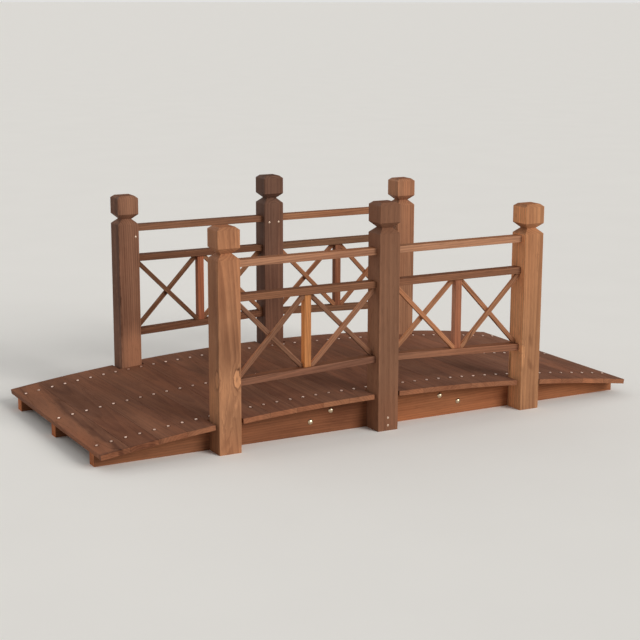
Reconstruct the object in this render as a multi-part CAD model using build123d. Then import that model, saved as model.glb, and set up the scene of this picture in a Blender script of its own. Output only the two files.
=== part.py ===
from build123d import *
import math
import os

os.makedirs("parts", exist_ok=True)

# Arched garden footbridge in millimetres.
# X runs along the walk, Y across it and Z up; the origin is on the ground under the middle of the deck.

# The walk: its length along the arch and its clear width between the posts
deck_length = 1470.0
walk_width = 552.0

# Deck: boards laid across an arc, counted from the left end
board_count = 21
board_gap = 0.5
board_thickness = 12.0
board_edge_chamfer = 0.5
board_overhang = 50.0
deck_radius = 5090.0
deck_middle_height = 93.0
short_board_clearance = 1.0
boards_per_bay = 6

# Stringers: flat below, arched above, in two halves that butt beside the middle posts
stringer_thickness = 28.0
stringer_end_setback = 1.0

# Boards that tie the halves of the outer stringers together
tie_length = 482.0
tie_height = 48.0
tie_thickness = 18.0
tie_centre_x = 28.0
tie_bottom_height = 19.0

# Posts and their turned-in heads
post_size = 56.0
post_edge_radius = 2.0
outer_post_height = 525.0
middle_post_rise = 30.0
head_chamfer_width = 8.5
head_chamfer_height = 7.0
head_block_height = 47.5
neck_depth = 14.5
neck_upper_height = 13.5
neck_lower_height = 13.5

# Railings: the upper rails hang below the outer posts' tops, the bottom rail follows the deck
rail_depth = 28.0
rail_height = 16.5
top_rail_drop = 86.0
middle_rail_drop = 165.5
bottom_rail_lift = 84.5
rail_edge_radius = 1.5
baluster_width = 18.0
brace_width = 11.0
brace_thickness = 9.0
brace_edge_chamfer = 1.0

# Places that follow from the sizes above
board_pitch = deck_length / board_count
stringer_outer_y = walk_width / 2
board_length = walk_width + 2 * board_overhang
arc_centre_z = deck_middle_height - deck_radius
stringer_radius = deck_radius - board_thickness
half_arc = deck_length / 2
stringer_end_x = stringer_radius * math.sin(half_arc / deck_radius) - stringer_end_setback
stringer_joint_x = deck_radius * math.sin(board_pitch / 2 / deck_radius)
post_x = deck_radius * math.sin(boards_per_bay * board_pitch / deck_radius)
post_y = stringer_outer_y + post_size / 2
half_post = post_size / 2
half_rail = rail_height / 2
top_rail_centre = outer_post_height - top_rail_drop
middle_rail_centre = outer_post_height - middle_rail_drop


def save(pieces, node):
    shape = pieces[0] if len(pieces) == 1 else Compound(children=pieces)
    shape.label = node
    export_step(shape, "parts/" + node + ".step")


def upright_plate(outline, y_low, y_high):
    """A flat plate whose outline is drawn in X and Z."""
    face = make_face(outline)
    plate = extrude(Plane.XZ * face, amount=y_high - y_low)
    return Pos(0, y_high, 0) * plate


def arch_height(radius, x):
    return arc_centre_z + math.sqrt(radius ** 2 - x ** 2)


def straight_outline(points):
    return Polyline(*points, close=True)


def eased_bar(width, height, length, edge_chamfer):
    """A bar that starts at the origin and runs along X, with its four long edges taken off."""
    corners = Rectangle(width, height).vertices()
    return extrude(Plane.YZ * chamfer(corners, edge_chamfer), amount=length)


# Deck boards

def deck_board(number, length):
    """One board, laid tangent to the arc at its own place along the walk."""
    place = (number - (board_count + 1) / 2) * board_pitch
    angle = place / deck_radius
    bar = eased_bar(board_pitch - board_gap, board_thickness, length, board_edge_chamfer)
    across = Rot(0, 0, 90) * Pos(-length / 2, 0, 0) * bar
    on_top = Pos(0, 0, deck_radius - board_thickness / 2) * across
    return Pos(0, 0, arc_centre_z) * Rot(0, math.degrees(angle), 0) * on_top


def make_deck():
    middle = (board_count + 1) // 2
    post_boards = [middle - boards_per_bay, middle, middle + boards_per_bay]
    short_length = walk_width - 2 * short_board_clearance
    groups = {
        "left_end_deck_boards": range(1, post_boards[0]),
        "left_bay_deck_boards": range(post_boards[0] + 1, post_boards[1]),
        "right_bay_deck_boards": range(post_boards[1] + 1, post_boards[2]),
        "right_end_deck_boards": range(post_boards[2] + 1, board_count + 1),
    }
    for node, numbers in groups.items():
        save([deck_board(number, board_length) for number in numbers], node)
    short_nodes = ["left_post_deck_board", "middle_post_deck_board", "right_post_deck_board"]
    for node, number in zip(short_nodes, post_boards):
        save([deck_board(number, short_length)], node)


# Stringers and tie boards

def stringer_half(x_low, x_high, y_centre):
    crown_points = [(x, arch_height(stringer_radius, x)) for x in (x_low, (x_low + x_high) / 2, x_high)]
    crown = ThreePointArc(*crown_points)
    sides = Polyline(crown_points[2], (x_high, 0), (x_low, 0), crown_points[0])
    half = stringer_thickness / 2
    return upright_plate(crown + sides, y_centre - half, y_centre + half)


def make_stringers():
    outer_centre = stringer_outer_y - stringer_thickness / 2
    rows = {"near": -outer_centre, "middle": 0, "far": outer_centre}
    for row, y_centre in rows.items():
        left = stringer_half(-stringer_end_x, stringer_joint_x, y_centre)
        right = stringer_half(stringer_joint_x, stringer_end_x, y_centre)
        save([left], row + "_stringer_left_half")
        save([right], row + "_stringer_right_half")


def make_tie_boards():
    inner_y = stringer_outer_y - stringer_thickness
    for row, side in (("near", -1), ("far", 1)):
        centre = (tie_centre_x, side * (inner_y - tie_thickness / 2), tie_bottom_height + tie_height / 2)
        save([Pos(*centre) * Box(tie_length, tie_thickness, tie_height)], row + "_stringer_tie_board")


# Posts

def post_outline(height):
    """The post's side view: straight shaft, V neck, block head with chamfered top."""
    block_bottom = height - head_block_height
    neck = block_bottom - neck_upper_height
    shoulder = neck - neck_lower_height
    right_side = [
        (half_post, 0),
        (half_post, shoulder),
        (half_post - neck_depth, neck),
        (half_post, block_bottom),
        (half_post, height - head_chamfer_height),
        (half_post - head_chamfer_width, height),
    ]
    left_side = [(-x, z) for x, z in reversed(right_side)]
    return straight_outline(right_side + left_side)


def post(height):
    """The same outline cut from two directions, so the neck and chamfers run round all four sides."""
    front_view = upright_plate(post_outline(height), -half_post, half_post)
    side_view = Rot(0, 0, 90) * front_view
    timber = extrude(RectangleRounded(post_size, post_size, post_edge_radius), amount=height)
    return (front_view & side_view & timber).solid()


def make_posts():
    columns = {
        "left": (-post_x, outer_post_height),
        "middle": (0, outer_post_height + middle_post_rise),
        "right": (post_x, outer_post_height),
    }
    for row, side in (("near", -1), ("far", 1)):
        for column, (x, height) in columns.items():
            save([Pos(x, side * post_y, 0) * post(height)], row + "_" + column + "_post")


# Railings: each bay is drawn to the right of the middle post, then turned to its own place

bay_start = half_post
bay_end = post_x - half_post
bay_middle = post_x / 2
bottom_rail_start = arch_height(deck_radius, bay_start) + bottom_rail_lift
bottom_rail_end = arch_height(deck_radius, bay_end) + bottom_rail_lift


def bottom_rail_z(x):
    """Height of the bottom rail's centre line, which falls straight from post to post."""
    share = (x - bay_start) / (bay_end - bay_start)
    return bottom_rail_start + share * (bottom_rail_end - bottom_rail_start)


def rail(start_z, end_z):
    """A rail between two posts; where it slopes, its ends stay upright against the posts."""
    section = Plane.YZ * RectangleRounded(rail_depth, rail_height, rail_edge_radius)
    section = Pos(bay_start, 0, start_z) * section
    run = Vector(bay_end - bay_start, 0, end_z - start_z)
    return extrude(section, amount=run.length, dir=run.normalized())


def infill_outline(x_low, x_high):
    """The opening between the bottom and middle rails, over one stretch of the bay."""
    ceiling = middle_rail_centre - half_rail
    return [
        (x_low, bottom_rail_z(x_low) + half_rail),
        (x_high, bottom_rail_z(x_high) + half_rail),
        (x_high, ceiling),
        (x_low, ceiling),
    ]


def fitted_into_infill(bar, x_low, x_high):
    """The bar with its ends cut to the rails and posts that it meets."""
    opening = upright_plate(straight_outline(infill_outline(x_low, x_high)), -half_post, half_post)
    return (bar & opening).solid()


def baluster():
    section = RectangleRounded(baluster_width, baluster_width, rail_edge_radius)
    timber = extrude(section, amount=middle_rail_centre - bottom_rail_end)
    bar = Pos(bay_middle, 0, bottom_rail_end) * timber
    return fitted_into_infill(bar, bay_start, bay_end)


def brace(x_low, x_high, rising, y_centre):
    """A strip from corner to corner of one half of the bay."""
    corners = infill_outline(x_low, x_high)
    start = corners[0] if rising else corners[3]
    end = corners[2] if rising else corners[1]
    slope = math.atan2(end[1] - start[1], end[0] - start[0])
    reach = math.dist(start, end)
    spare = 2 * brace_width
    bar = eased_bar(brace_thickness, brace_width, reach + 2 * spare, brace_edge_chamfer)
    placed = Pos(start[0], y_centre, start[1]) * Rot(0, -math.degrees(slope), 0) * Pos(-spare, 0, 0) * bar
    return fitted_into_infill(placed, x_low, x_high)


def brace_layers(rising_outside):
    """Two crossed pairs of strips, the outside layer facing away from the walk.

    rising_outside says, for the stretch beside the middle post and then for the one beside the
    outer post, whether the outside strip climbs as it leaves the middle post.
    """
    half = baluster_width / 2
    stretches = [(bay_start, bay_middle - half), (bay_middle + half, bay_end)]
    outer_layer = []
    inner_layer = []
    for (x_low, x_high), rising in zip(stretches, rising_outside):
        outer_layer.append(brace(x_low, x_high, rising, -brace_thickness / 2))
        inner_layer.append(brace(x_low, x_high, not rising, brace_thickness / 2))
    return outer_layer, inner_layer


def bay_pieces(rising_outside):
    outer_layer, inner_layer = brace_layers(rising_outside)
    return {
        "top_rail": [rail(top_rail_centre, top_rail_centre)],
        "middle_rail": [rail(middle_rail_centre, middle_rail_centre)],
        "bottom_rail": [rail(bottom_rail_start, bottom_rail_end)],
        "baluster": [baluster()],
        "outside_braces": outer_layer,
        "inside_braces": inner_layer,
    }


def make_railings():
    bays = [
        ("near", "left", [False, False]),
        ("near", "right", [False, True]),
        ("far", "left", [False, False]),
        ("far", "right", [True, False]),
    ]
    for row, column, rising_outside in bays:
        side = -1 if row == "near" else 1
        for name, solids in bay_pieces(rising_outside).items():
            placed = []
            for solid in solids:
                turned = solid if row == "near" else mirror(solid, about=Plane.XZ)
                turned = mirror(turned, about=Plane.YZ) if column == "left" else turned
                placed.append(Pos(0, side * post_y, 0) * turned)
            save(placed, row + "_" + column + "_" + name)


make_deck()
make_stringers()
make_tie_boards()
make_posts()
make_railings()
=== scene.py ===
import math
import random

import bpy
from mathutils import Matrix, Vector


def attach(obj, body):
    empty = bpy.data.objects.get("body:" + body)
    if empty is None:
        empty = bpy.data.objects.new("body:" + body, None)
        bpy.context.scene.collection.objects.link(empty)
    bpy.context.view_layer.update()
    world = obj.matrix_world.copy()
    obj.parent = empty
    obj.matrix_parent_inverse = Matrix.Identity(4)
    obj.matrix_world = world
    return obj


# Dresses the garden footbridge: stained timber on every piece, nails, screws and coach bolts.
# Metres throughout. X runs along the walk, Y across it, Z up; the near railing is at -Y.

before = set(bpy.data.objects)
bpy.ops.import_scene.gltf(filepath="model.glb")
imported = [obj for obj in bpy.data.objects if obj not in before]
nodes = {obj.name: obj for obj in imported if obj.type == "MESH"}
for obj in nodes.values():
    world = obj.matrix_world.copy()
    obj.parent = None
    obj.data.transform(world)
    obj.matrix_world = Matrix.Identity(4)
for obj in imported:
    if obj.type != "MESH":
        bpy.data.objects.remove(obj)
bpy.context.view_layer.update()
print("frame loaded:", len(nodes), "timber pieces")

# Places that several pieces share, as the solids have them
postX = 0.4195                      # middle of the outer posts
postHalf = 0.028
railingY = 0.304                    # middle of the posts and rails
nearFace = -(railingY + postHalf)   # the posts' faces towards -Y
farFace = railingY - postHalf
leftPostSide = -(postX + postHalf)  # and towards -X
rightPostSide = postX - postHalf
bayMiddle = 0.20975


# Colours are written 0 to 255 as they look on screen, and turned into Blender's linear values here
def tone(red, green, blue):
    def linear(value):
        share = value / 255
        return share / 12.92 if share <= 0.04045 else ((share + 0.055) / 1.055) ** 2.4
    return (linear(red), linear(green), linear(blue), 1.0)


def scaled(colour, factors):
    return tuple(min(1.0, part * factor) for part, factor in zip(colour, factors)) + (1.0,)


# Short ways to wire shader nodes: a socket takes another node's output or a plain value

def feed(tree, socket, value):
    if isinstance(value, bpy.types.NodeSocket):
        tree.links.new(value, socket)
    else:
        socket.default_value = value


def addNode(tree, kind, inputs=None, settings=None):
    node = tree.nodes.new(kind)
    for name, value in (settings or {}).items():
        setattr(node, name, value)
    for name, value in (inputs or {}).items():
        feed(tree, node.inputs[name], value)
    return node


def calc(tree, operation, first, second=0.0, third=0.0, clamp=False):
    return addNode(tree, "ShaderNodeMath", {0: first, 1: second, 2: third},
                   {"operation": operation, "use_clamp": clamp}).outputs[0]


def times(tree, first, second):
    return calc(tree, "MULTIPLY", first, second)


def vectorCalc(tree, operation, first, second=(0.0, 0.0, 0.0), scale=None):
    node = addNode(tree, "ShaderNodeVectorMath", {0: first, 1: second}, {"operation": operation})
    if scale is not None:
        feed(tree, node.inputs["Scale"], scale)
    return node.outputs["Value"] if operation in ("LENGTH", "DOT_PRODUCT") else node.outputs[0]


def combine(tree, x, y, z):
    return addNode(tree, "ShaderNodeCombineXYZ", {"X": x, "Y": y, "Z": z}).outputs[0]


def split(tree, vector):
    return addNode(tree, "ShaderNodeSeparateXYZ", {0: vector}).outputs


# 0 below low, 1 above high, with a smooth step between them
def rise(tree, value, low, high):
    inputs = {"Value": value, "From Min": low, "From Max": high, "To Min": 0.0, "To Max": 1.0}
    return addNode(tree, "ShaderNodeMapRange", inputs, {"interpolation_type": "SMOOTHSTEP"}).outputs[0]


def fall(tree, value, low, high):
    return calc(tree, "SUBTRACT", 1.0, rise(tree, value, low, high))


# Noise with its own count per metre in each direction
def grainNoise(tree, vector, perMetre, detail=2.0, roughness=0.5, colour=False):
    stretched = vectorCalc(tree, "MULTIPLY", vector, perMetre)
    node = addNode(tree, "ShaderNodeTexNoise",
                   {"Vector": stretched, "Scale": 1.0, "Detail": detail, "Roughness": roughness})
    return node.outputs[1 if colour else 0]


# Noise that pushes places about, evenly to all sides
def swayNoise(tree, vector, perMetre, detail, roughness=0.5):
    noise = grainNoise(tree, vector, perMetre, detail, roughness, colour=True)
    return vectorCalc(tree, "SUBTRACT", noise, (0.5, 0.5, 0.5))


# The Mix node has sockets for every kind of value, so its own are wired by number
def mixColour(tree, share, first, second, blend="MIX"):
    settings = {"data_type": "RGBA", "blend_type": blend}
    return addNode(tree, "ShaderNodeMix", {0: share, 6: first, 7: second}, settings).outputs[2]


def mixVector(tree, share, first, second):
    return addNode(tree, "ShaderNodeMix", {0: share, 4: first, 5: second}, {"data_type": "VECTOR"}).outputs[1]


def tinted(tree, share, colour, factors):
    return mixColour(tree, share, colour, mixColour(tree, 1.0, colour, factors + (1.0,), "MULTIPLY"))


def ramp(tree, value, stops):
    node = addNode(tree, "ShaderNodeValToRGB", {"Fac": value})
    points = node.color_ramp.elements
    while len(points) < len(stops):
        points.new(0.5)
    for point, (place, colour) in zip(points, stops):
        point.position = place
        point.color = colour
    return node.outputs[0]


def addShader(tree, inputs):
    shader = addNode(tree, "ShaderNodeBsdfPrincipled", inputs)
    addNode(tree, "ShaderNodeOutputMaterial", {"Surface": shader.outputs[0]})


def newTree(name):
    material = bpy.data.materials.new(name)
    material.use_nodes = True
    material.node_tree.nodes.clear()
    return material, material.node_tree


# Noise counts per metre, first along the grain, and each part's relief in millimetres
grainCounts = {
    "wave": (1.9, 7, 7),
    "uneven": (1.5, 45, 45),
    "fibre": (9, 390, 390),
    "streaks": (2.3, 72, 72),
    "pores": (38, 1250, 1250),
    "checks": (1.1, 25, 25),
    "dry": (1.6, 10, 10),        # where checks open
    "stain": (5, 12, 12),
    "tint": (2.4, 7, 7),
    "rubbed": (26, 70, 70),
}
grainRelief = {"rings": 0.06, "fibre": 0.16, "pores": -0.12, "checks": -0.5}


# The growth pattern of one length of timber. Place runs along the grain in X, and Y and Z are its section.
# Rings grow round a pith line that leans and wanders, so a face shows straight or arched figure.
def makeGrainGroup(counts, relief):
    group = bpy.data.node_groups.new("timberGrain", "ShaderNodeTree")
    for name, kind in (("Place", "Vector"), ("Pith", "Vector"), ("Lean", "Vector"), ("Half size", "Vector"),
                       ("Ring width", "Float"), ("Wander", "Float"), ("Bend", "Float"), ("Seed", "Float")):
        group.interface.new_socket(name=name, in_out="INPUT", socket_type="NodeSocket" + kind)
    results = ("Rings", "Growth", "Fibre", "Streaks", "Pores", "Checks", "Stain", "Tint", "Edge", "Height")
    for name in results:
        group.interface.new_socket(name=name, in_out="OUTPUT", socket_type="NodeSocketFloat")
    given = group.nodes.new("NodeGroupInput").outputs
    place = given["Place"]
    seed = given["Seed"]
    along = split(group, place)[0]

    # each piece takes its figure from another stretch of the noise
    shift = combine(group, times(group, seed, 3.17), times(group, seed, 1.93), times(group, seed, 2.71))
    shifted = vectorCalc(group, "ADD", place, shift)
    wave = swayNoise(group, shifted, counts["wave"], 1.5)
    wave = vectorCalc(group, "SCALE", wave, scale=times(group, given["Wander"], 2.0))
    pith = vectorCalc(group, "ADD", given["Pith"], vectorCalc(group, "SCALE", given["Lean"], scale=along))
    fromPith = vectorCalc(group, "ADD", vectorCalc(group, "SUBTRACT", place, pith), wave)
    section = vectorCalc(group, "MULTIPLY", fromPith, (0.0, 1.0, 1.0))
    radius = calc(group, "ADD", vectorCalc(group, "LENGTH", section), given["Bend"])
    fibrePlace = vectorCalc(group, "ADD", section, combine(group, along, 0.0, 0.0))
    fibrePlace = vectorCalc(group, "ADD", shift, fibrePlace)

    uneven = times(group, grainNoise(group, fibrePlace, counts["uneven"]), 0.7)
    phase = calc(group, "ADD", calc(group, "DIVIDE", radius, given["Ring width"]), uneven)
    share = calc(group, "FRACT", phase)
    rings = times(group, rise(group, share, 0.1, 0.86), fall(group, share, 0.9, 1.0))
    bandPlace = combine(group, times(group, phase, 0.36), times(group, along, 0.8), times(group, seed, 5.1))
    growth = grainNoise(group, bandPlace, (1, 1, 1), 2.5, 0.55)

    fibre = grainNoise(group, fibrePlace, counts["fibre"], 3.0, 0.6)
    streaks = grainNoise(group, fibrePlace, counts["streaks"], 2.5, 0.5)
    pores = rise(group, grainNoise(group, fibrePlace, counts["pores"], 0.0), 0.66, 0.75)
    fromCheck = calc(group, "SUBTRACT", grainNoise(group, fibrePlace, counts["checks"], 1.0), 0.5)
    dry = rise(group, grainNoise(group, shifted, counts["dry"], 1.0), 0.57, 0.66)
    checks = times(group, fall(group, calc(group, "ABSOLUTE", fromCheck), 0.002, 0.009), dry)
    stain = grainNoise(group, shifted, counts["stain"], 4.0, 0.6)
    tint = rise(group, grainNoise(group, shifted, counts["tint"], 2.0), 0.4, 0.62)

    # the long edges, where handling has rubbed the stain thin; on the strips their paler edges also stand in
    # for painted highlights
    inside = vectorCalc(group, "SUBTRACT", given["Half size"], vectorCalc(group, "ABSOLUTE", place))
    besideY, besideZ = (fall(group, gap, 0.0003, 0.003) for gap in split(group, inside)[1:3])
    rubbed = rise(group, grainNoise(group, shifted, counts["rubbed"], 2.0), 0.36, 0.66)
    edge = times(group, times(group, besideY, besideZ), rubbed)

    height = 0.0
    for part, name in ((rings, "rings"), (fibre, "fibre"), (pores, "pores"), (checks, "checks")):
        height = calc(group, "MULTIPLY_ADD", part, relief[name], height)
    values = (rings, growth, fibre, streaks, pores, checks, stain, tint, edge, height)
    addNode(group, "NodeGroupOutput", dict(zip(results, values)))
    return group


grainGroup = makeGrainGroup(grainCounts, grainRelief)

# Factors of a piece's body colour, first for the figure's shade from 0, pale, to 1, dark
woodTones = {
    "figure": ((0.0, (1.62, 1.60, 1.52)), (0.45, (1.0, 1.0, 1.0)), (0.75, (0.66, 0.62, 0.62)),
               (1.0, (0.36, 0.32, 0.33))),
    "bodyShade": 0.45,           # the shade at which the body colour shows as it is
    "redder": (1.08, 0.93, 0.86),
    "pores": (0.3, 0.27, 0.27),
    "worn": (1.75, 1.8, 1.8),
    "checks": (0.2, 0.17, 0.17),
    "nailBleed": (0.22, 0.18, 0.17),
}

# How strongly each part of the figure shows, and the finish. A piece's own look changes what it needs.
commonLook = {
    "along": "X",            # the direction that the grain runs in, X or Z
    "slope": 0.0,            # degrees that it climbs towards +X
    "centre": (0.0, 0.0, 0.0),
    "half": (0.014, 0.014),  # half of the section, where edges wear
    "shade": 0.0,            # darker above 0, paler below
    "pith": (0.010, -0.030),
    "lean": (0.012, 0.02),
    "ringWidth": 0.0052,
    "wander": 0.006,
    "rings": 0.22,
    "growth": 0.75,
    "fibre": 0.30,
    "streaks": 0.55,
    "stain": 0.45,
    "worn": 0.35,
    "checks": 0.7,
    "endTone": (0.86, 0.80, 0.78),
    "topTone": (0.74, 0.59, 0.42),   # painted shade on faces that look up; factors above 1 paint light there instead
    "leftTone": (1.0, 1.0, 1.0),     # painted light on the faces towards -X
    "slantPaintedLight": (1.0, 1.0, 1.0),    # painted light on slopes that look up towards -X
    "roughness": 0.62,
    "specular": 0.07,
    "sheen": 0.008,
    "knots": (),
    "marks": (),             # soft darker or paler places
}


# The distance from a knot's or mark's centre, where 1 is its edge
def spotDistance(tree, objectPlace, spot):
    offset = vectorCalc(tree, "SUBTRACT", objectPlace, spot["centre"])
    if spot["turn"]:
        inputs = {"Vector": offset, "Angle": math.radians(spot["turn"])}
        offset = addNode(tree, "ShaderNodeVectorRotate", inputs, {"rotation_type": "Y_AXIS"}).outputs[0]
    return vectorCalc(tree, "LENGTH", vectorCalc(tree, "DIVIDE", offset, spot["reach"]))


def timberTurn(look):
    if look["along"] == "Z":
        return (0.0, math.radians(-90), 0.0)
    return (0.0, -math.radians(look["slope"]), 0.0)


def grainAxis(look):
    if look["along"] == "Z":
        return (0.0, 0.0, 1.0)
    slope = math.radians(look["slope"])
    return (math.cos(slope), 0.0, math.sin(slope))


# The bend of the rings round the look's knots, and how much darker knots and marks make the wood
def knotsAndMarks(tree, look, objectPlace):
    sway = swayNoise(tree, objectPlace, (95, 95, 48), 3.0, 0.6)
    swayed = vectorCalc(tree, "ADD", objectPlace, vectorCalc(tree, "SCALE", sway, scale=0.014))
    bend = 0.0
    shade = 0.0
    for spot in look["knots"]:
        away = spotDistance(tree, swayed, spot)
        bend = calc(tree, "MULTIPLY_ADD", fall(tree, away, 0.3, 2.4), spot["bend"], bend)
        rim = times(tree, rise(tree, away, 0.78, 0.98), fall(tree, away, 1.0, 1.3))
        heart = fall(tree, away, 0.1, 0.42)
        core = fall(tree, away, 0.8, 1.0)
        for mask, name in ((rim, "rim"), (heart, "heart"), (core, "core")):
            shade = calc(tree, "MULTIPLY_ADD", mask, spot[name], shade)
    for spot in look["marks"]:
        mask = fall(tree, spotDistance(tree, swayed, spot), 0.2, 1.0)
        shade = calc(tree, "MULTIPLY_ADD", mask, spot["darker"], shade)
    return bend, shade


# Mixes the figure into a stain and gives the material its finish
def finishTimber(tree, look, objectPlace, place, seed, pith, axis, extraShade=0.0, nailBleed=None):
    bend, shade = knotsAndMarks(tree, look, objectPlace)
    made = addNode(tree, "ShaderNodeGroup", {
        "Place": place, "Pith": pith, "Lean": (0.0,) + look["lean"], "Half size": (0.0,) + look["half"],
        "Ring width": look["ringWidth"], "Wander": look["wander"], "Bend": bend, "Seed": seed,
    }, {"node_tree": grainGroup}).outputs

    shade = calc(tree, "ADD", calc(tree, "ADD", woodTones["bodyShade"], shade), extraShade)
    for name, middle in (("Rings", 0.4), ("Growth", 0.5), ("Fibre", 0.5), ("Streaks", 0.5), ("Stain", 0.5)):
        level = calc(tree, "SUBTRACT", made[name], middle)
        shade = calc(tree, "MULTIPLY_ADD", level, look[name.lower()], shade)
    body = tone(*look["body"])
    colour = ramp(tree, shade, [(step, scaled(body, factors)) for step, factors in woodTones["figure"]])
    colour = tinted(tree, times(tree, made["Tint"], 0.5), colour, woodTones["redder"])

    facing = addNode(tree, "ShaderNodeTexCoord").outputs["Normal"]
    towards = split(tree, facing)
    endGrain = calc(tree, "ABSOLUTE", vectorCalc(tree, "DOT_PRODUCT", facing, axis))
    # Faces that look up take the look's painted top light, and they are rougher
    facingUp = rise(tree, towards["Z"], 0.8, 0.97)
    # Faces towards -X take the look's painted light
    leftward = rise(tree, times(tree, towards["X"], -1.0), 0.8, 0.97)
    # Slopes that look up towards -X take the look's painted light
    slanted = rise(tree, vectorCalc(tree, "DOT_PRODUCT", facing, (-0.707, 0.0, 0.707)), 0.85, 0.95)
    colour = tinted(tree, rise(tree, endGrain, 0.72, 0.9), colour, look["endTone"])
    for share, name in ((facingUp, "topTone"), (leftward, "leftTone"), (slanted, "slantPaintedLight")):
        colour = tinted(tree, share, colour, look[name])
    for result, amount, name in (("Pores", 0.35, "pores"), ("Edge", look["worn"], "worn"),
                                 ("Checks", look["checks"], "checks")):
        share = times(tree, made[result], amount)
        colour = mixColour(tree, share, colour, scaled(body, woodTones[name]))
    if nailBleed is not None:
        colour = mixColour(tree, nailBleed, colour, scaled(body, woodTones["nailBleed"]))

    # stain lies shinier on the dense dark rings, and dry places and checks are duller
    gloss = calc(tree, "MULTIPLY_ADD", made["Rings"], -0.07, look["roughness"])
    gloss = calc(tree, "MULTIPLY_ADD", calc(tree, "SUBTRACT", made["Stain"], 0.5), 0.3, gloss)
    gloss = calc(tree, "MULTIPLY_ADD", calc(tree, "SUBTRACT", made["Fibre"], 0.5), 0.16, gloss)
    gloss = calc(tree, "MULTIPLY_ADD", facingUp, 0.2, gloss)
    gloss = calc(tree, "MULTIPLY_ADD", made["Checks"], 0.2, gloss, clamp=True)
    bump = addNode(tree, "ShaderNodeBump", {"Height": made["Height"], "Distance": 0.001, "Strength": 0.7})
    addShader(tree, {"Base Color": colour, "Roughness": gloss, "Normal": bump.outputs[0],
                     "Specular IOR Level": look["specular"], "Sheen Weight": look["sheen"],
                     "Sheen Roughness": 0.6})


def dress(nodeName, material):
    piece = nodes[nodeName]
    if not piece.material_slots:
        piece.data.materials.append(material)
    for slot in piece.material_slots:
        slot.material = material


# A straight length of timber, or two lengths that share a node and change over at splitAt
def dressTimber(nodeName, *looks, splitAt=None):
    looks = [{**commonLook, **look} for look in looks]
    material, tree = newTree(nodeName + "_stain")
    objectPlace = addNode(tree, "ShaderNodeTexCoord").outputs["Object"]
    placed = []
    for look in looks:
        inputs = {"Vector": objectPlace, "Location": look["centre"], "Rotation": timberTurn(look)}
        placed.append(addNode(tree, "ShaderNodeMapping", inputs, {"vector_type": "TEXTURE"}).outputs[0])
    look = looks[0]
    place = placed[0]
    axis = grainAxis(look)
    seed = look["seed"]
    shade = look["shade"]
    if splitAt is not None:
        beyond = calc(tree, "GREATER_THAN", split(tree, objectPlace)[0], splitAt)
        place = mixVector(tree, beyond, place, placed[1])
        axis = mixVector(tree, beyond, axis, grainAxis(looks[1]))
        seed = calc(tree, "MULTIPLY_ADD", beyond, looks[1]["seed"] - seed, seed)
        shade = calc(tree, "MULTIPLY_ADD", beyond, looks[1]["shade"] - shade, shade)
    finishTimber(tree, look, objectPlace, place, seed, (0.0,) + look["pith"], axis, shade)
    dress(nodeName, material)


# Reach is in metres and turn in degrees, and bend is how far a knot pushes the rings. Its rim, heart and core
# are darker above 0 and paler below, and so is a mark.
def knot(centre, reach, bend, rim=0.0, heart=0.0, core=0.0, turn=0.0):
    return {"centre": centre, "reach": reach, "bend": bend, "rim": rim, "heart": heart, "core": core,
            "turn": turn}


def mark(centre, reach, darker, turn=0.0):
    return {"centre": centre, "reach": reach, "darker": darker, "turn": turn}
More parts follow.
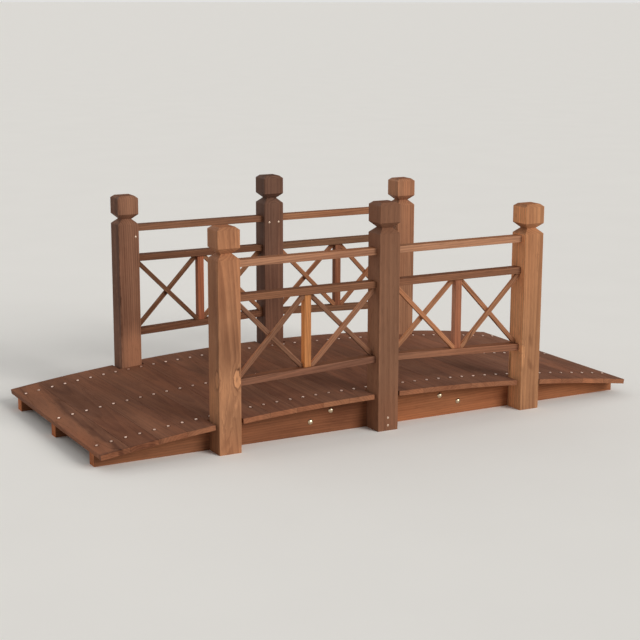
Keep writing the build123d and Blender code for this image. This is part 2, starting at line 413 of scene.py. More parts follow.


# Posts: one look each, because every one is cut from a different length of timber. The far posts' darker
# bodies are partly painted shade.
postLook = {"along": "Z", "half": (postHalf, postHalf), "ringWidth": 0.0058, "wander": 0.007}
postLooks = {
    "near_left_post": {
        # Its head's top gets painted light.
        "centre": (-postX, -railingY, 0.0), "seed": 1.0, "body": (165, 117, 85), "topTone": (1.0, 0.90, 0.72),
        "pith": (0.018, 0.006), "lean": (0.02, 0.05), "growth": 0.5, "rings": 0.17, "streaks": 0.48,
        "knots": (
            knot((-0.4020, nearFace, 0.176), (0.0095, 0.020, 0.023), 0.010, rim=0.26, heart=0.34, core=-0.36),
            knot((leftPostSide, -0.321, 0.176), (0.006, 0.010, 0.022), 0.010, rim=0.24, core=-0.26),
            knot((-0.424, nearFace, 0.080), (0.007, 0.020, 0.050), 0.009, turn=-7),
        ),
        "marks": (
            mark((-0.423, nearFace, 0.245), (0.045, 0.02, 0.085), 0.29),
            mark((-postX, nearFace, 0.06), (0.05, 0.03, 0.09), 0.13),
            mark((-0.447, nearFace, 0.34), (0.030, 0.03, 0.13), 0.13, turn=-8),
            mark((-0.3985, nearFace, 0.198), (0.010, 0.02, 0.004), 0.32, turn=40),
            mark((-postX, nearFace, 0.47), (0.05, 0.03, 0.19), -0.08),
            mark((-0.407, nearFace, 0.508), (0.004, 0.03, 0.03), 0.16),
            mark((-0.4400, nearFace, 0.075), (0.0035, 0.02, 0.045), -0.22),
            mark((-0.4040, nearFace, 0.120), (0.005, 0.02, 0.026), -0.20, turn=-12),
            mark((leftPostSide, -0.318, 0.44), (0.02, 0.006, 0.09), 0.12),
            # The next two marks paint shade on the upper face towards -X and light on its lower part.
            mark((leftPostSide, -0.295, 0.36), (0.005, 0.06, 0.22), 0.14),
            mark((leftPostSide, -0.300, 0.12), (0.005, 0.05, 0.08), -0.30),
        )},
    "near_middle_post": {
        # Its faces towards -X get painted light.
        "centre": (0.0, -railingY, 0.0), "seed": 2.0, "body": (125, 88, 67), "leftTone": (1.22, 1.22, 1.22),
        "pith": (0.09, 0.05), "lean": (0.004, 0.008), "growth": 0.22, "rings": 0.1, "streaks": 0.3,
        "stain": 0.3,
        "marks": (
            # Painted light on the lower face towards -X.
            mark((-postHalf, -railingY, 0.20), (0.005, 0.06, 0.33), -0.30),
            mark((0.024, nearFace, 0.08), (0.008, 0.03, 0.16), -0.10),
        )},
    "near_right_post": {
        # Its faces towards -X and its head's top get painted light.
        "centre": (postX, -railingY, 0.0), "seed": 3.0, "body": (166, 118, 84), "leftTone": (1.7, 1.72, 1.72),
        "topTone": (1.0, 0.90, 0.72), "pith": (0.075, -0.06), "lean": (0.006, 0.01), "growth": 0.45,
        "rings": 0.16,
        "knots": (knot((0.394, nearFace, 0.16), (0.006, 0.02, 0.012), 0.008, rim=0.1, core=-0.14),),
        "marks": (
            # The first two marks paint more light on the face towards -X.
            mark((rightPostSide, -railingY, 0.28), (0.005, 0.06, 0.9), -0.22),
            mark((rightPostSide, -railingY, 0.14), (0.005, 0.06, 0.10), -0.16),
            mark((postX, nearFace, 0.45), (0.06, 0.03, 0.20), -0.07),
            mark((0.3965, nearFace, 0.135), (0.007, 0.02, 0.036), -0.32),
            mark((0.402, nearFace, 0.055), (0.009, 0.02, 0.06), -0.10),
            mark((0.419, nearFace, 0.116), (0.008, 0.02, 0.030), 0.20, turn=24),
            mark((0.418, nearFace, 0.178), (0.009, 0.02, 0.024), 0.18, turn=10),
            mark((0.4325, nearFace, 0.395), (0.0035, 0.02, 0.085), 0.20),
            # A painted shadow under the rail on the face towards -X, and a painted highlight along that
            # face's back edge.
            mark((rightPostSide, -0.300, 0.36), (0.02, 0.006, 0.085), 0.20),
            mark((rightPostSide, -0.279, 0.375), (0.02, 0.004, 0.06), -0.30),
        )},
    "far_left_post": {
        "centre": (-postX, railingY, 0.0), "seed": 4.0, "body": (142, 102, 80), "pith": (-0.035, 0.015),
        "growth": 0.6,
        "marks": (
            # The first mark paints shade on the face towards -X; the next two darken the upper post and paint
            # light on the low inner face, against the shade that falls there.
            mark((leftPostSide, railingY, 0.28), (0.004, 0.06, 0.9), 0.30),
            mark((-postX, 0.285, 0.38), (0.10, 0.10, 0.36), 0.14),
            mark((-0.416, farFace, 0.105), (0.05, 0.03, 0.10), -0.50),
            mark((-postX, farFace, 0.505), (0.05, 0.03, 0.05), -0.14),
        )},
    "far_middle_post": {
        "centre": (0.0, railingY, 0.0), "seed": 5.0, "body": (107, 77, 63), "pith": (-0.05, -0.01),
        "growth": 0.4,
        "marks": (
            mark((0.0, farFace, 0.33), (0.05, 0.03, 0.12), -0.16),
            # Painted light on the low inner face, against the shade that falls there.
            mark((0.0, farFace, 0.13), (0.05, 0.03, 0.12), -0.32),
        )},
    "far_right_post": {
        "centre": (postX, railingY, 0.0), "seed": 6.0, "body": (154, 110, 83), "pith": (-0.03, -0.02),
        "growth": 0.6,
        "marks": (
            mark((postX, farFace, 0.505), (0.05, 0.03, 0.05), -0.12),
            # Painted light on the head's face towards -X.
            mark((rightPostSide, railingY, 0.505), (0.010, 0.06, 0.045), -0.42),
        )},
}
for nodeName, look in postLooks.items():
    dressTimber(nodeName, {**postLook, **look})
print("posts stained:", len(postLooks))


# Rails of the four bays. Heights are those of the centre lines, in the middle of the bay.
railLook = {"half": (0.014, 0.00825), "ringWidth": 0.0042, "wander": 0.004, "streaks": 0.5}
railLooks = {
    "top_rail": {"height": 0.439, "pith": (0.02, 0.03)},
    "middle_rail": {"height": 0.3595, "pith": (-0.015, -0.025)},
    "bottom_rail": {"height": 0.1699, "pith": (0.02, 0.02)},
}
bottomRailFall = 2.364  # degrees, down towards the outer posts

# Balusters, and the strips that cross in the openings on both sides of one: first beside the middle post,
# then beside the outer one. Top and floor are where the strips end.
balusterHalf = 0.009
balusterLook = {"along": "Z", "half": (balusterHalf, balusterHalf), "pith": (0.02, 0.012),
                "ringWidth": 0.0042, "wander": 0.004, "growth": 0.9}
# The strips' slant factor paints light on their slopes that look up towards -X
stripLook = {"half": (0.0045, 0.0055), "pith": (0.012, 0.02), "ringWidth": 0.004, "wander": 0.003,
             # The strips' strong edge wear is partly painted highlight along their edges
             "worn": 0.75, "slantPaintedLight": (2.1, 1.95, 1.7)}
stripTop = 0.35125
stripOpenings = (
    {"start": postHalf, "end": bayMiddle - balusterHalf, "startFloor": 0.18567, "endFloor": 0.17854},
    {"start": bayMiddle + balusterHalf, "end": rightPostSide, "startFloor": 0.17780, "endFloor": 0.17067},
)

# Body colours of each bay's pieces. The pairs are for the strips in the two openings: how much darker each
# is in the outside and the inside layer, and whether the outside one climbs as it leaves the middle post.
# Each baluster's left factor is painted light on its faces towards -X.
bayLooks = {
    "near_left": {
        "top_rail": (157, 113, 87), "middle_rail": (130, 89, 65), "bottom_rail": (123, 86, 68),
        "baluster": (178, 119, 74), "balusterLeftPaintedLight": (1.8, 1.62, 1.38), "strips": (133, 95, 73),
        "outside": (-0.09, 0.10), "inside": (0.16, 0.20), "risingOutside": (False, False)},
    "near_right": {
        "top_rail": (164, 122, 95), "middle_rail": (130, 90, 67), "bottom_rail": (135, 94, 72),
        "baluster": (150, 97, 72), "balusterLeftPaintedLight": (2.1, 2.6, 3.0), "strips": (153, 106, 77),
        "outside": (-0.22, 0.10), "inside": (-0.12, -0.08), "risingOutside": (False, True)},
    "far_left": {
        "top_rail": (122, 85, 64), "middle_rail": (108, 74, 55), "bottom_rail": (116, 80, 60),
        "baluster": (152, 92, 66), "balusterLeftPaintedLight": (1.0, 1.0, 1.0), "strips": (130, 92, 67),
        "outside": (-0.03, 0.28), "inside": (-0.12, 0.34), "risingOutside": (False, False)},
    "far_right": {
        "top_rail": (150, 106, 78), "middle_rail": (120, 87, 65), "bottom_rail": (124, 88, 66),
        "baluster": (138, 90, 66), "balusterLeftPaintedLight": (1.0, 1.0, 1.0), "strips": (145, 99, 71),
        "outside": (0.14, 0.07), "inside": (-0.25, 0.04), "risingOutside": (True, False)},
}


# The middle of a strip, and the degrees that it climbs as it leaves the middle post
def stripRun(opening, rising):
    first, last = opening["start"], opening["end"]
    startZ, endZ = (opening["startFloor"], stripTop) if rising else (stripTop, opening["endFloor"])
    slope = math.degrees(math.atan2(endZ - startZ, last - first))
    return (first + last) / 2, (startZ + endZ) / 2, slope


seed = 10.0
for row, side in (("near", -1), ("far", 1)):
    for column, hand in (("left", -1), ("right", 1)):
        bay = row + "_" + column
        bayLook = bayLooks[bay]
        centreY = side * railingY
        for rail, look in railLooks.items():
            seed += 1.0
            slope = -hand * bottomRailFall if rail == "bottom_rail" else 0.0
            dressTimber(bay + "_" + rail, {
                **railLook, "centre": (hand * bayMiddle, centreY, look["height"]), "slope": slope,
                "seed": seed, "pith": look["pith"], "body": bayLook[rail]})
        seed += 1.0
        dressTimber(bay + "_baluster", {
            **balusterLook, "centre": (hand * bayMiddle, centreY, 0.0), "seed": seed,
            "body": bayLook["baluster"], "leftTone": bayLook["balusterLeftPaintedLight"]})
        for layer, outwards in (("outside", side), ("inside", -side)):
            strips = []
            for opening, shade, outsideRises in zip(stripOpenings, bayLook[layer], bayLook["risingOutside"]):
                middleX, middleZ, slope = stripRun(opening, outsideRises == (layer == "outside"))
                layerY = centreY + outwards * stripLook["half"][0]
                seed += 1.0
                strips.append({
                    **stripLook, "centre": (hand * middleX, layerY, middleZ), "slope": hand * slope,
                    "seed": seed, "shade": shade, "body": bayLook["strips"]})
            if hand < 0:
                strips.reverse()
            dressTimber(bay + "_" + layer + "_braces", *strips, splitAt=hand * bayMiddle)
print("railings stained, four bays")


# Stringers and the boards that tie their halves together
stringerLook = {"half": (0.014, 0.2), "pith": (-0.02, 0.03), "ringWidth": 0.006, "wander": 0.008,
                "streaks": 0.4, "growth": 0.55, "rings": 0.14}
stringerRows = {"near": -0.262, "middle": 0.0, "far": 0.262}
stringerHeight = 0.035
# The left ends' paler factors are painted light on ends that lie in the deck's shade.
stringerEndTones = {"left": (1.9, 1.55, 1.15), "right": (1.1, 0.95, 0.80)}
stringerBodies = {"near_left": (128, 83, 58), "near_right": (152, 97, 65), "middle_left": (134, 86, 58),
                  "middle_right": (138, 90, 62), "far_left": (146, 94, 64), "far_right": (150, 97, 66)}
# The first near_left mark is a painted shadow of the near middle post; the others paint light at the outer
# ends, against the deck's shade.
stringerMarks = {
    "near_left": (mark((-0.095, -farFace, 0.05), (0.075, 0.05, 0.05), 0.24),
                  mark((-0.62, -farFace, 0.03), (0.18, 0.05, 0.08), -0.16)),
    "near_right": (mark((0.62, -farFace, 0.03), (0.18, 0.05, 0.08), -0.18),),
}
tieLook = {"half": (0.009, 0.024), "pith": (0.03, 0.01), "body": (126, 82, 58), "ringWidth": 0.005}
tieCentre = (0.028, 0.239, 0.043)
for number, (place, body) in enumerate(stringerBodies.items()):
    row, column = place.split("_")
    dressTimber(row + "_stringer_" + column + "_half", {
        **stringerLook, "centre": (0.0, stringerRows[row], stringerHeight), "seed": 60.0 + number,
        "body": body, "endTone": stringerEndTones[column], "marks": stringerMarks.get(place, ())})
for number, (row, side) in enumerate((("near", -1), ("far", 1))):
    dressTimber(row + "_stringer_tie_board", {
        **tieLook, "centre": (tieCentre[0], side * tieCentre[1], tieCentre[2]), "seed": 70.0 + number})
print("stringers and tie boards stained")


# Deck: one material for all the boards, which knows each board by its place along the arch
deckLook = {**commonLook,
            "body": (119, 79, 59),
            "half": (0.0345, 0.006),
            "lean": (0.01, 0.03),
            "ringWidth": 0.0062,
            "wander": 0.010,
            "rings": 0.14,
            "growth": 0.5,
            "fibre": 0.22,
            "streaks": 0.42,
            "stain": 0.65,
            "worn": 0.22,
            "checks": 0.3,
            # The boards' ends are made paler than their tops: painted light on the end band
            "endTone": (1.58, 1.56, 1.43),
            "topTone": (1.0, 1.0, 1.0),
            "roughness": 0.72,
            "specular": 0.08,
            "marks": (
                mark((-0.65, -0.328, 0.05), (0.24, 0.010, 0.06), 0.32),
                # Painted light along the far side
                mark((-0.10, 0.33, 0.08), (1.00, 0.44, 0.30), -0.18),
                # Painted shadow of the near right post on the boards beside it
                mark((0.42, -0.13, 0.075), (0.055, 0.26, 0.06), 0.18),
            )}
deckArch = {"radius": 5.090, "centreZ": -4.997, "pitch": 0.070, "thickness": 0.012, "boards": 21,
            "nailAcross": 0.0175, "nailRows": (-0.256, 0.0, 0.256)}
boardVariety = {"pithAcross": 0.09, "pithDepth": 0.05, "leastPithDepth": 0.02, "shade": 0.16}
bleedLook = {"from": 0.0035, "to": 0.0085, "strength": 0.55}  # metres from a nail's middle

# The first board at the left end stayed paler along its outer side, up to a wavy edge with a dark run of
# stain beside it. Both are weaker towards the far end. Places are metres across the board from its middle.
firstBoard = {"number": -10.0, "paler": -0.36, "darker": 0.2, "edge": 0.004, "slant": 0.10, "wave": 0.03,
              "wavesPerMetre": 9, "runStart": (-0.001, 0.006), "runEnd": (0.009, 0.018), "dull": -0.85}


def firstBoardShade(tree, look, number, across, y):
    wavy = grainNoise(tree, combine(tree, y, 0.0, 0.0), (look["wavesPerMetre"], 1, 1))
    wavy = calc(tree, "SUBTRACT", wavy, 0.5)
    edge = calc(tree, "MULTIPLY_ADD", calc(tree, "MAXIMUM", y, 0.0), look["slant"], look["edge"])
    fromEdge = calc(tree, "SUBTRACT", across, calc(tree, "MULTIPLY_ADD", wavy, look["wave"], edge))
    ends = fall(tree, calc(tree, "ABSOLUTE", y), 0.308, 0.322)
    pale = times(tree, fall(tree, fromEdge, -0.008, 0.005), ends)
    dull = times(tree, rise(tree, y, 0.03, 0.2), fall(tree, across, -0.020, 0.002))
    pale = calc(tree, "MULTIPLY_ADD", dull, look["dull"], pale, clamp=True)
    run = times(tree, rise(tree, fromEdge, *look["runStart"]), fall(tree, fromEdge, *look["runEnd"]))
    run = times(tree, run, fall(tree, y, 0.06, 0.14))
    shade = calc(tree, "MULTIPLY_ADD", pale, look["paler"], times(tree, run, look["darker"]))
    return times(tree, shade, calc(tree, "COMPARE", number, look["number"], 0.5))


# Dark bleed in the top of the wood round every nail
def bleedRoundNails(tree, arch, across, y, depth):
    awayX = calc(tree, "SUBTRACT", calc(tree, "ABSOLUTE", across), arch["nailAcross"])
    outerRow = calc(tree, "ABSOLUTE", calc(tree, "SUBTRACT", calc(tree, "ABSOLUTE", y), arch["nailRows"][2]))
    awayY = calc(tree, "MINIMUM", calc(tree, "ABSOLUTE", y), outerRow)
    away = vectorCalc(tree, "LENGTH", combine(tree, awayX, awayY, 0.0))
    onTop = rise(tree, depth, 0.003, 0.005)
    bleed = times(tree, fall(tree, away, bleedLook["from"], bleedLook["to"]), onTop)
    return times(tree, bleed, bleedLook["strength"])


def makeDeckMaterial(look, arch, variety):
    material, tree = newTree("deck_board_stain")
    objectPlace = addNode(tree, "ShaderNodeTexCoord").outputs["Object"]
    x, y, z = split(tree, objectPlace)
    up = calc(tree, "SUBTRACT", z, arch["centreZ"])
    along = times(tree, calc(tree, "ARCTAN2", x, up), arch["radius"])
    number = calc(tree, "ROUND", calc(tree, "DIVIDE", along, arch["pitch"]))
    across = calc(tree, "MULTIPLY_ADD", number, -arch["pitch"], along)
    depth = calc(tree, "SUBTRACT", vectorCalc(tree, "LENGTH", combine(tree, x, up, 0.0)),
                 arch["radius"] - arch["thickness"] / 2)

    # each board has its own pith, figure and depth of stain
    chance = addNode(tree, "ShaderNodeTexWhiteNoise", {"W": number}, {"noise_dimensions": "1D"})
    draw = split(tree, chance.outputs["Color"])
    pithAcross = calc(tree, "MULTIPLY_ADD", draw[0], variety["pithAcross"], -variety["pithAcross"] / 2)
    pithDepth = calc(tree, "MULTIPLY_ADD", draw[1], -variety["pithDepth"], -variety["leastPithDepth"])
    pith = combine(tree, 0.0, pithAcross, pithDepth)
    boardSeed = calc(tree, "MULTIPLY_ADD", number, 1.37, 100.0)
    shade = calc(tree, "MULTIPLY_ADD", draw[2], variety["shade"], -variety["shade"] / 2)
    shade = calc(tree, "ADD", shade, firstBoardShade(tree, firstBoard, number, across, y))
    finishTimber(tree, look, objectPlace, combine(tree, y, across, depth), boardSeed, pith, (0.0, 1.0, 0.0),
                 shade, bleedRoundNails(tree, arch, across, y, depth))
    return material


deckStain = makeDeckMaterial(deckLook, deckArch, boardVariety)
deckNodes = [name for name in nodes if "deck_board" in name]
for nodeName in deckNodes:
    dress(nodeName, deckStain)
print("deck boards stained:", len(deckNodes), "groups")


# Fasteners are modelled once each, at the origin with the head up, then copied to their places
def clearSelection():
    if bpy.context.object and bpy.context.object.mode != "OBJECT":
        bpy.ops.object.mode_set(mode="OBJECT")
    bpy.ops.object.select_all(action="DESELECT")


def editSelected(piece, choose, kind="FACE"):
    bpy.ops.object.mode_set(mode="EDIT")
    bpy.ops.mesh.select_all(action="DESELECT")
    bpy.ops.mesh.select_mode(type=kind)
    bpy.ops.object.mode_set(mode="OBJECT")
    parts = piece.data.polygons if kind == "FACE" else piece.data.edges
    for part in parts:
        part.select = choose(part)
    bpy.ops.object.mode_set(mode="EDIT")


def edgeHeights(piece, edge):
    return [piece.data.vertices[index].co.z for index in edge.vertices]


def domedHead(name, radius, height, sides, steps):
    clearSelection()
    bpy.ops.mesh.primitive_cylinder_add(vertices=sides, radius=radius, depth=height,
                                        location=(0, 0, height / 2))
    head = bpy.context.object
    head.name = name
    editSelected(head, lambda edge: min(edgeHeights(head, edge)) > height * 0.9, "EDGE")
    bpy.ops.mesh.bevel(offset=min(height * 0.85, radius * 0.7), segments=steps, profile=0.5)
    bpy.ops.object.mode_set(mode="OBJECT")
    return head


nailHead = {"radius": 0.0032, "height": 0.0015, "sides": 12, "steps": 2, "lift": 0.0002, "sunk": 0.0004,
            "wobble": 0.0006, "lean": 4}
boltHead = {"radius": 0.0072, "dome": 0.0036, "rim": 0.0007, "sides": 28, "rings": 36}
nutSet = {"washer": 0.0085, "washerThick": 0.0014, "washerSides": 28, "nut": 0.0058, "nutHeight": 0.005,
          "faceInset": 0.0012, "boreInset": 0.0011, "boreDip": 0.0004, "corner": 0.0004, "thread": 0.003,
          "threadSides": 16, "threadOut": 0.0028}
screwHead = {"radius": 0.0027, "height": 0.0011, "sides": 24, "proud": 0.00005, "rim": 0.0002,
             "slot": 0.0008, "slotLength": 0.0031, "slotDepth": 0.0007, "slotTaper": 0.6}
smoothAngle = math.radians(32)


def modelBolt():
    clearSelection()
    size = boltHead
    ball = (size["radius"] ** 2 + size["dome"] ** 2) / (2 * size["dome"])
    bpy.ops.mesh.primitive_uv_sphere_add(segments=size["sides"], ring_count=size["rings"], radius=ball,
                                         location=(0, 0, size["rim"] + size["dome"] - ball))
    head = bpy.context.object
    head.name = "boltHead"
    bpy.ops.object.mode_set(mode="EDIT")
    bpy.ops.mesh.select_all(action="SELECT")
    bpy.ops.mesh.bisect(plane_co=(0, 0, size["rim"]), plane_no=(0, 0, 1), use_fill=True, clear_inner=True)
    bpy.ops.object.mode_set(mode="OBJECT")
    bpy.ops.object.transform_apply(location=True, rotation=False, scale=False)
    editSelected(head, lambda face: face.normal.z < -0.99)
    bpy.ops.mesh.extrude_region_move(TRANSFORM_OT_translate={"value": (0, 0, -size["rim"])})
    bpy.ops.object.mode_set(mode="OBJECT")
    clearSelection()
    return head


def modelNut():
    size = nutSet
    washer = domedHead("washer", size["washer"], size["washerThick"], size["washerSides"], 1)
    clearSelection()
    bpy.ops.mesh.primitive_cylinder_add(vertices=6, radius=size["nut"], depth=size["nutHeight"],
                                        location=(0, 0, size["washerThick"] + size["nutHeight"] / 2))
    nut = bpy.context.object
    editSelected(nut, lambda face: face.normal.z > 0.9)
    bpy.ops.mesh.inset(thickness=size["faceInset"])
    bpy.ops.mesh.inset(thickness=size["boreInset"])
    bpy.ops.transform.translate(value=(0, 0, -size["boreDip"]))
    bpy.ops.object.mode_set(mode="OBJECT")
    bevel = nut.modifiers.new("softCorners", "BEVEL")
    bevel.width = size["corner"]
    bevel.segments = 2
    bpy.ops.object.modifier_apply(modifier=bevel.name)
    threadTop = size["washerThick"] + size["nutHeight"] + size["threadOut"]
    thread = domedHead("thread", size["thread"], threadTop, size["threadSides"], 2)
    return joinPieces("nutSet", [washer, nut, thread])


def modelScrew():
    size = screwHead
    clearSelection()
    bpy.ops.mesh.primitive_cylinder_add(vertices=size["sides"], radius=size["radius"], depth=size["height"],
                                        location=(0, 0, size["proud"] - size["height"] / 2))
    head = bpy.context.object
    head.name = "screwHead"
    editSelected(head, lambda edge: min(edgeHeights(head, edge)) > 0, "EDGE")
    bpy.ops.mesh.bevel(offset=size["rim"], segments=2, profile=0.5)
    bpy.ops.object.mode_set(mode="OBJECT")
    bars = []
    for turn in (0, 1):
        clearSelection()
        bpy.ops.mesh.primitive_cube_add(size=1, location=(0, 0, size["proud"]))
        bar = bpy.context.object
        lengths = (size["slotLength"], size["slot"], 2 * size["slotDepth"])
        bar.data.transform(Matrix.Rotation(turn * math.pi / 2, 4, "Z") @ Matrix.Diagonal(lengths + (1.0,)))
        editSelected(bar, lambda face: face.normal.z < -0.9)
        bpy.ops.transform.resize(value=(size["slotTaper"], size["slotTaper"], 1.0))
        bpy.ops.object.mode_set(mode="OBJECT")
        bars.append(bar)
    for bar in bars:
        clearSelection()
        head.select_set(True)
        bpy.context.view_layer.objects.active = head
        recess = head.modifiers.new("crossRecess", "BOOLEAN")
        recess.operation = "DIFFERENCE"
        recess.solver = "EXACT"
        recess.object = bar
        bpy.ops.object.modifier_apply(modifier=recess.name)
        bpy.data.objects.remove(bar)
    clearSelection()
    return head


def joinPieces(name, pieces):
    clearSelection()
    for piece in pieces:
        piece.select_set(True)
    bpy.context.view_layer.objects.active = pieces[0]
    bpy.ops.object.join()
    joined = bpy.context.object
    joined.name = name
    joined.data.name = name
    bpy.ops.object.transform_apply(location=True, rotation=True, scale=True)
    clearSelection()
    return joined


def copyTo(source, matrices):
    copies = []
    for matrix in matrices:
        copy = source.copy()
        copy.data = source.data.copy()
        copy.data.transform(source.matrix_world)
        copy.matrix_world = Matrix.Identity(4)
        copy.data.transform(matrix)
        bpy.context.collection.objects.link(copy)
        copies.append(copy)
    return copies


# Copies a fastener to all its places as one piece that rides on the bridge
def fitSet(name, source, matrices, material):
    piece = joinPieces(name, copyTo(source, matrices))
    bpy.data.objects.remove(source)
    piece.data.materials.clear()
    piece.data.materials.append(material)
    piece.select_set(True)
    bpy.context.view_layer.objects.active = piece
    bpy.ops.object.shade_smooth_by_angle(angle=smoothAngle)
    clearSelection()
    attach(piece, "root")


# Zinc plating: a cloudy spangle, fine scratches, dull dirt in the low places and a little rust freckle
def zincPlating(name, colour, roughness, freckle):
    material, tree = newTree(name)
    objectPlace = addNode(tree, "ShaderNodeTexCoord").outputs["Object"]
    cloud = grainNoise(tree, objectPlace, (420, 420, 420), 3.0, 0.6)
    scratch = grainNoise(tree, objectPlace, (900, 3800, 2600), 2.0, 0.7)
    dirt = rise(tree, grainNoise(tree, objectPlace, (160, 160, 160), 3.0, 0.6), 0.52, 0.7)
    plated = ramp(tree, cloud, ((0.3, scaled(colour, (0.86, 0.86, 0.88))), (0.7, colour)))
    plated = mixColour(tree, times(tree, dirt, freckle), plated, tone(120, 84, 60))
    # some heads have aged more than others
    aged = rise(tree, grainNoise(tree, objectPlace, (23, 23, 23), 1.0), 0.48, 0.66)
    plated = mixColour(tree, times(tree, aged, 2.2 * freckle), plated, tone(150, 112, 88))
    shine = calc(tree, "MULTIPLY_ADD", scratch, 0.16, roughness - 0.08)
    shine = calc(tree, "MULTIPLY_ADD", dirt, 0.22, shine, clamp=True)
    relief = calc(tree, "MULTIPLY_ADD", scratch, 0.03, times(tree, cloud, 0.05))
    bump = addNode(tree, "ShaderNodeBump", {"Height": relief, "Distance": 0.001, "Strength": 0.8})
    addShader(tree, {"Base Color": plated, "Roughness": shine, "Normal": bump.outputs[0], "Metallic": 1.0})
    return material


nailPlating = zincPlating("nail_plating", tone(255, 226, 206), 0.42, 0.2)
boltPlating = zincPlating("bolt_plating", tone(226, 204, 172), 0.26, 0.2)
screwPlating = zincPlating("screw_plating", tone(232, 208, 186), 0.36, 0.16)

# Two nails across each board on each of the three stringers, never quite in line
dice = random.Random(7)
mostLean = math.radians(nailHead["lean"])
nailPlaces = []
for board in range(deckArch["boards"]):
    angle = (board - (deckArch["boards"] - 1) / 2) * deckArch["pitch"] / deckArch["radius"]
    boardTurn = Matrix.Translation((0, 0, deckArch["centreZ"])) @ Matrix.Rotation(angle, 4, "Y")
    for row in deckArch["nailRows"]:
        for across in (-deckArch["nailAcross"], deckArch["nailAcross"]):
            off = Vector((across + dice.uniform(-1, 1) * nailHead["wobble"],
                          row + dice.uniform(-1, 1) * nailHead["wobble"],
                          deckArch["radius"] + nailHead["lift"] - dice.uniform(0, nailHead["sunk"])))
            lean = Matrix.Rotation(dice.uniform(-mostLean, mostLean), 4, "X")
            lean = lean @ Matrix.Rotation(dice.uniform(-mostLean, mostLean), 4, "Y")
            nailPlaces.append(boardTurn @ Matrix.Translation(off) @ lean)
nail = domedHead("nailHead", nailHead["radius"], nailHead["height"], nailHead["sides"], nailHead["steps"])
fitSet("deck_nails", nail, nailPlaces, nailPlating)
print("deck nails driven:", len(nailPlaces))

# Coach bolts through the outer stringers and their tie boards, with washers and nuts inside
boltSpots = ((-0.183, 0.032), (-0.127, 0.054), (0.184, 0.052), (0.239, 0.031))
tieFace = 0.230
outward = {-1: Matrix.Rotation(math.pi / 2, 4, "X"), 1: Matrix.Rotation(-math.pi / 2, 4, "X")}
boltPlaces = []
nutPlaces = []
for side in (-1, 1):
    for x, z in boltSpots:
        boltPlaces.append(Matrix.Translation((x, side * farFace, z)) @ outward[side])
        turn = Matrix.Rotation(dice.uniform(0, 1), 4, "Z")
        nutPlaces.append(Matrix.Translation((x, side * tieFace, z)) @ outward[-side] @ turn)
fitSet("stringer_bolt_heads", modelBolt(), boltPlaces, boltPlating)
fitSet("stringer_bolt_nuts", modelNut(), nutPlaces, boltPlating)
print("coach bolts fitted:", len(boltPlaces))

# Countersunk cross-head screws: feet of the middle posts outside, and rail fixings on the posts' inner faces
footScrews = (0.013, 0.032)
railScrews = ((-0.014, 0.430), (0.014, 0.430), (-0.401, 0.418), (0.398, 0.417))
screwPlaces = []
for side in (-1, 1):
    for z in footScrews:
        screwPlaces.append(Matrix.Translation((0, side * -nearFace, z)) @ outward[side])
    for x, z in railScrews:
        screwPlaces.append(Matrix.Translation((x, side * farFace, z)) @ outward[-side])
screwPlaces = [place @ Matrix.Rotation(dice.uniform(0, 1.5), 4, "Z") for place in screwPlaces]
fitSet("post_screws", modelScrew(), screwPlaces, screwPlating)
print("screws driven:", len(screwPlaces))


# Floor, light and camera
floorLook = {"size": 600.0, "colour": tone(247, 245, 241), "bounce": 0.74}
lampLooks = {
    "key": {"strength": 2.2, "width": 30.0, "from": (0.45, -0.95, 0.50), "colour": (1.0, 0.985, 0.955)},
    "fill": {"strength": 0.55, "width": 80.0, "from": (-0.35, 0.88, 0.33), "colour": (1.0, 0.99, 0.97)},
}
skyLook = {"colour": (1.0, 0.995, 0.985, 1.0), "light": 0.39, "backdrop": 0.76}
cameraLook = {"place": (-1.8288, -3.3480, 1.0253), "azimuth": -28.544, "elevation": 12.049, "roll": 0.189,
              "lens": 84.97}


# 1 where a ray shows the background itself: to the camera, in a metal's gloss or through glass
def seenRays(tree):
    ray = addNode(tree, "ShaderNodeLightPath").outputs
    mirrored = calc(tree, "MAXIMUM", ray["Is Glossy Ray"], ray["Is Transmission Ray"])
    return calc(tree, "MAXIMUM", ray["Is Camera Ray"], mirrored)


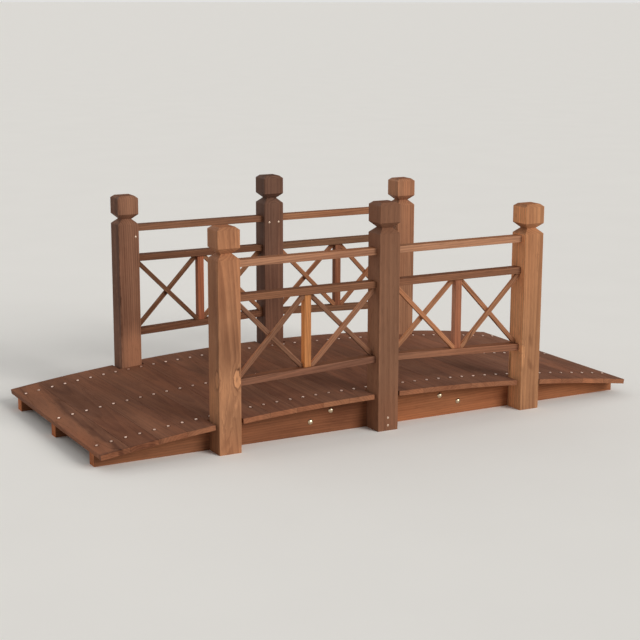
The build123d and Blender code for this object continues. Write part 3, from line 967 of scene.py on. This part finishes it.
def addFloor():
    clearSelection()
    bpy.ops.mesh.primitive_plane_add(size=floorLook["size"], location=(0, 0, 0))
    floor = bpy.context.object
    floor.name = "studioFloor"
    material, tree = newTree("studio_floor")
    speckle = grainNoise(tree, addNode(tree, "ShaderNodeTexCoord").outputs["Object"], (3, 3, 3), 3.0)
    colour = ramp(tree, speckle, ((0.3, scaled(floorLook["colour"], (0.985, 0.985, 0.985))),
                                  (0.7, floorLook["colour"])))
    lit = scaled(floorLook["colour"], (floorLook["bounce"],) * 3)
    colour = mixColour(tree, seenRays(tree), lit, colour)
    addShader(tree, {"Base Color": colour, "Roughness": 0.9, "Specular IOR Level": 0.1})
    floor.data.materials.append(material)
    clearSelection()


def addWorld():
    world = bpy.data.worlds.new("studioSky")
    bpy.context.scene.world = world
    world.use_nodes = True
    tree = world.node_tree
    tree.nodes.clear()
    strength = calc(tree, "MULTIPLY_ADD", seenRays(tree), skyLook["backdrop"] - skyLook["light"],
                    skyLook["light"])
    sky = addNode(tree, "ShaderNodeBackground", {"Color": skyLook["colour"], "Strength": strength})
    addNode(tree, "ShaderNodeOutputWorld", {"Surface": sky.outputs[0]})


def addLamp(name, look):
    lamp = bpy.data.lights.new(name + "Light", "SUN")
    lamp.energy = look["strength"]
    lamp.angle = math.radians(look["width"])
    lamp.color = look["colour"]
    light = bpy.data.objects.new(name + "Light", lamp)
    light.rotation_euler = Vector(look["from"]).to_track_quat("Z", "Y").to_euler()
    light.location = Vector(look["from"]) * 3
    bpy.context.collection.objects.link(light)


def addCamera():
    lens = bpy.data.cameras.new("gardenView")
    lens.sensor_width = 36.0
    lens.lens = cameraLook["lens"]
    camera = bpy.data.objects.new("gardenView", lens)
    camera.matrix_world = (
        Matrix.Translation(cameraLook["place"])
        @ Matrix.Rotation(math.radians(cameraLook["azimuth"]), 4, "Z")
        @ Matrix.Rotation(math.radians(90 - cameraLook["elevation"]), 4, "X")
        @ Matrix.Rotation(math.radians(cameraLook["roll"]), 4, "Z"))
    bpy.context.collection.objects.link(camera)
    bpy.context.scene.camera = camera


addFloor()
addWorld()
for lampName, look in lampLooks.items():
    addLamp(lampName, look)
addCamera()
bpy.context.scene.view_settings.view_transform = "Standard"
print("floor, light and camera set")
